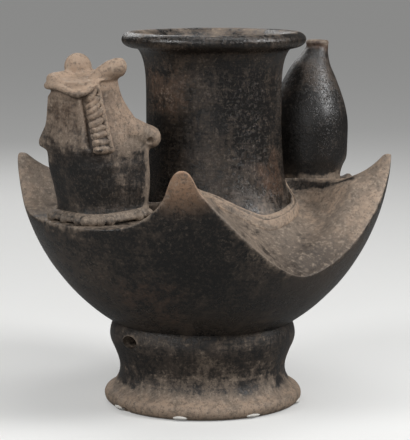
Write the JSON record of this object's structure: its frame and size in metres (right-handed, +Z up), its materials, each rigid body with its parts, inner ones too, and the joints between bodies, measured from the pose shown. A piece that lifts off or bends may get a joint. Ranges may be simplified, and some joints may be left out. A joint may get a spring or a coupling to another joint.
{
  "type": "lizard effigy vessel",
  "caption": "Hand-built blackware vessel: scalloped bowl with corner points on a hollow foot, wide neck with rolled rim, reared lizard head and bottle-shaped tail spout.",
  "frame": {"origin": "centre of the foot's rest face, on the ground", "axes": "+Z up; -Y toward the lizard's head, +Y toward the tail spout; X across, the vessel is symmetric in X apart from the fills"},
  "size_m": [0.2048, 0.2335, 0.24],
  "materials": {
    "black_clay": "burnished, smoke-blackened, semi-gloss",
    "brown_clay": "burnished, half worn, satin",
    "taupe_clay": "worn, matt",
    "orange_clay": "worn to the orange body, matt",
    "red_clay": "oxidised, matt",
    "white_fill": "matt white plaster-like fill"
  },
  "bodies": {
    "root": {"foot_wall": "brown_clay", "foot_lip_coil": "taupe_clay", "white_fill_front": "white_fill", "white_fill_near": "white_fill", "white_fill_side": "white_fill", "white_fill_far": "white_fill", "bowl": "black_clay", "shoulder": "brown_clay", "front_right_point": "orange_clay", "front_left_point": "orange_clay", "back_right_point": "orange_clay", "back_left_point": "orange_clay", "neck": "black_clay", "neck_base_coil": "taupe_clay", "rim_coil": "brown_clay", "spout": "black_clay", "spout_lip": "red_clay", "head_shell": "brown_clay", "muzzle_cap": "taupe_clay", "right_nostril_lobe": "taupe_clay", "left_nostril_lobe": "taupe_clay", "right_eye_knob": "brown_clay", "left_eye_knob": "brown_clay", "right_jaw_band": "taupe_clay", "left_jaw_band": "taupe_clay", "right_throat_coil": "brown_clay", "left_throat_coil": "brown_clay", "bead_collar": "taupe_clay"}
  },
  "joints": []
}
